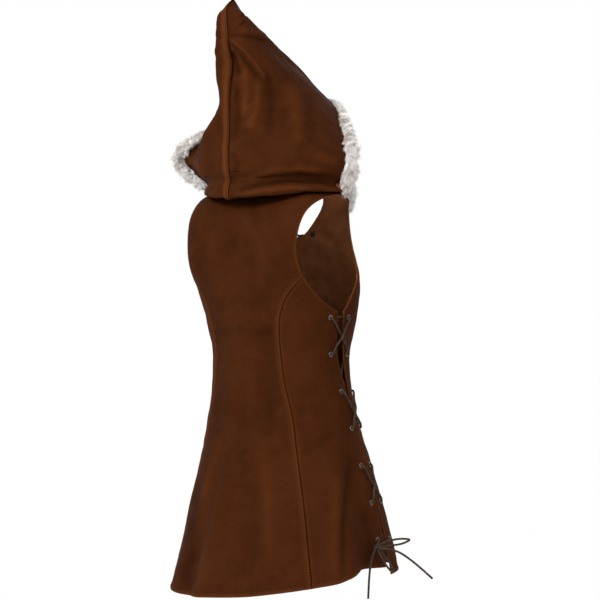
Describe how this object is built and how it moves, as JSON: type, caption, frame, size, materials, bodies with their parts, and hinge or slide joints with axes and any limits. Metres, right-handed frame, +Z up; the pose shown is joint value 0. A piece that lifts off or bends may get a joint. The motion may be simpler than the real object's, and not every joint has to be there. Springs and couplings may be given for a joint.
{
  "type": "hooded tunic",
  "caption": "Sleeveless fitted leather tunic with a pointed fur-edged hood, princess seams, side lacing with bows and a flared hem, as worn.",
  "frame": {"origin": "middle of the neckline at shoulder height, where the wearer's shoulders hold the tunic up", "axes": "+Z up, -Y the wearer's front, +Y the back, +X the wearer's left"},
  "size_m": [0.565, 0.4167, 1.1938],
  "materials": {
    "leather": "matt brown garment leather",
    "fur": "long white fur",
    "metal": "antique silver",
    "lace": "round dark leather lace"
  },
  "bodies": {
    "root": {"back": "leather", "back_side_left": "leather", "back_side_right": "leather", "bow_left": "lace", "bow_neck": "lace", "bow_right": "lace", "eyelet_back_left_1": "metal", "eyelet_back_left_2": "metal", "eyelet_back_left_3": "metal", "eyelet_back_left_4": "metal", "eyelet_back_left_5": "metal", "eyelet_back_left_6": "metal", "eyelet_back_left_7": "metal", "eyelet_back_right_1": "metal", "eyelet_back_right_2": "metal", "eyelet_back_right_3": "metal", "eyelet_back_right_4": "metal", "eyelet_back_right_5": "metal", "eyelet_back_right_6": "metal", "eyelet_back_right_7": "metal", "eyelet_front_left_1": "metal", "eyelet_front_left_2": "metal", "eyelet_front_left_3": "metal", "eyelet_front_left_4": "metal", "eyelet_front_left_5": "metal", "eyelet_front_left_6": "metal", "eyelet_front_left_7": "metal", "eyelet_front_right_1": "metal", "eyelet_front_right_2": "metal", "eyelet_front_right_3": "metal", "eyelet_front_right_4": "metal", "eyelet_front_right_5": "metal", "eyelet_front_right_6": "metal", "eyelet_front_right_7": "metal", "eyelet_neck_left": "metal", "eyelet_neck_right": "metal", "front": "leather", "front_side_left": "leather", "front_side_right": "leather", "fur_trim": "fur", "hood_left": "leather", "hood_right": "leather", "lace_end_left_1": "lace", "lace_end_left_2": "lace", "lace_end_neck_1": "lace", "lace_end_neck_2": "lace", "lace_end_right_1": "lace", "lace_end_right_2": "lace", "lace_left": "lace", "lace_right": "lace", "tie_left": "lace", "tie_right": "lace"}
  },
  "joints": []
}
